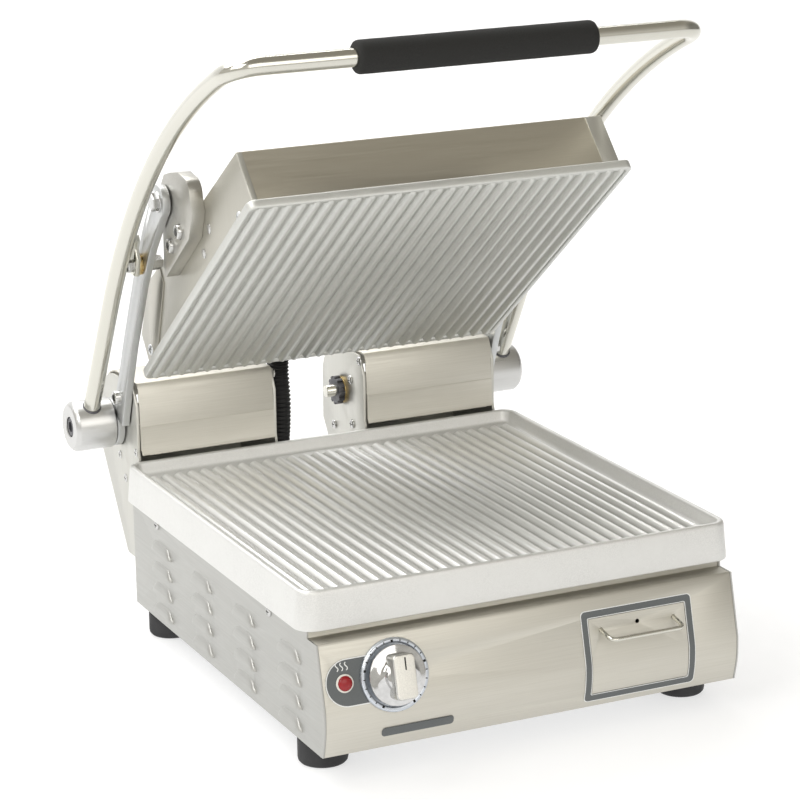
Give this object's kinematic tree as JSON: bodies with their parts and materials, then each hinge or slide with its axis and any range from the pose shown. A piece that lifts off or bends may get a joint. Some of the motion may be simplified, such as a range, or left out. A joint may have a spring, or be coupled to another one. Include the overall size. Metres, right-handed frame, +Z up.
{
  "type": "panini press",
  "caption": "Commercial ribbed contact grill: louvred steel body, lower plate, spring-balanced upper platen on two arms, U handle, dial and grease drawer.",
  "frame": {"origin": "centre of the whole part in X and Y at the raised rest pose, on the surface that the feet stand on", "axes": "+Z up; +X to the right as a user faces the front; the front (dial and drawer) faces -Y"},
  "size_m": [0.4732, 0.5694, 0.5954],
  "materials": {
    "stainless_body": "brushed stainless sheet, fine horizontal grain, warm reflections",
    "tower_sheet": "brushed stainless sheet, slightly duller",
    "zinc_sheet": "zinc-plated sheet",
    "cast_plate": "cast aluminium, fine grained, satin",
    "cast_arm": "cast aluminium with softly rounded edges",
    "satin_aluminium": "turned aluminium, satin",
    "tube_steel": "polished stainless tube",
    "chrome_ring": "bright chrome",
    "bright_screws": "bright plated fasteners",
    "spring_steel": "oiled dark spring steel",
    "bronze": "plain bronze and brass",
    "label_grey": "printed polyester label, satin",
    "ivory_plastic": "moulded ivory plastic",
    "red_lens": "translucent red lens",
    "black_rubber": "moulded rubber",
    "foam_grip": "closed-cell foam, fine pores",
    "black_conduit": "corrugated plastic conduit",
    "black_fittings": "moulded plastic fitting",
    "heater_sheath": "oxidised heater sheath",
    "insulation": "pressed mineral-fibre board"
  },
  "bodies": {
    "root": {"front_panel": "stainless_body", "left_side_panel": "stainless_body", "right_side_panel": "stainless_body", "rear_panel": "stainless_body", "bottom_pan": "zinc_sheet", "lower_plate": "cast_plate", "lower_element": "heater_sheath", "lower_insulation": "insulation", "thermostat": "zinc_sheet", "pilot_light": "red_lens", "control_label": "label_grey", "dial_bezel": "chrome_ring", "drawer_label": "label_grey", "badge_plate": "label_grey", "drawer_runners": "zinc_sheet", "feet": "black_rubber", "foot_screws": "bright_screws", "side_screws": "bright_screws", "left_hinge_tower": "tower_sheet", "right_hinge_tower": "tower_sheet", "left_spring_cover": "stainless_body", "right_spring_cover": "stainless_body", "left_torsion_spring": "spring_steel", "right_torsion_spring": "spring_steel", "bearing_bushes": "bronze", "conduit": "black_conduit", "lower_conduit_fitting": "black_fittings", "cord_gland": "black_fittings", "terminal_block": "ivory_plastic"},
    "arms": {"left_shaft": "tube_steel", "right_shaft": "tube_steel", "shaft_lock_nuts": "spring_steel", "left_barrel": "satin_aluminium", "right_barrel": "satin_aluminium", "barrel_screws": "spring_steel", "left_arm": "cast_arm", "right_arm": "cast_arm", "arm_screws": "bright_screws", "handle_tube": "tube_steel", "handle_grip": "foam_grip", "handle_tabs": "tube_steel", "stop_pins": "bright_screws", "lock_washers": "bronze", "pivot_bolts": "bright_screws"},
    "platen": {"platen_cover": "stainless_body", "upper_plate": "cast_plate", "left_platen_bracket": "cast_arm", "right_platen_bracket": "cast_arm", "bracket_screws": "bright_screws", "platen_screws": "bright_screws", "upper_element": "heater_sheath", "upper_insulation": "insulation", "upper_conduit_fitting": "black_fittings"},
    "knob": {"knob": "chrome_ring", "knob_insert": "ivory_plastic", "thermostat_shaft": "bright_screws"},
    "drawer": {"drawer_tray": "stainless_body", "drawer_front": "stainless_body", "drawer_pull": "tube_steel"}
  },
  "joints": [
    {"name": "arms_hinge", "type": "hinge", "parent": "root", "child": "arms", "pos_m": [0, 0.23575, 0.187], "axis": [1, 0, 0], "range_deg": [0, 45.3], "stiffness_Nm_per_rad": 17, "springref_deg": -108.86, "deforming": ["conduit"]},
    {"name": "platen_hinge", "type": "hinge", "parent": "arms", "child": "platen", "pos_m": [0, 0.08625, 0.427], "axis": [1, 0, 0], "range_deg": [-7.3, 0]},
    {"name": "dial_turn", "type": "hinge", "parent": "root", "child": "knob", "pos_m": [-0.1315, -0.25493, 0.087], "axis": [0, 0.9715, -0.2369], "range_deg": [0, 300]},
    {"name": "drawer_slide", "type": "slide", "parent": "root", "child": "drawer", "axis": [0, -1, 0], "range_m": [0, 0.14]}
  ],
  "couplings": [
    {"joint": "platen_hinge", "follows": "arms_hinge", "ratio": -0.16115}
  ]
}
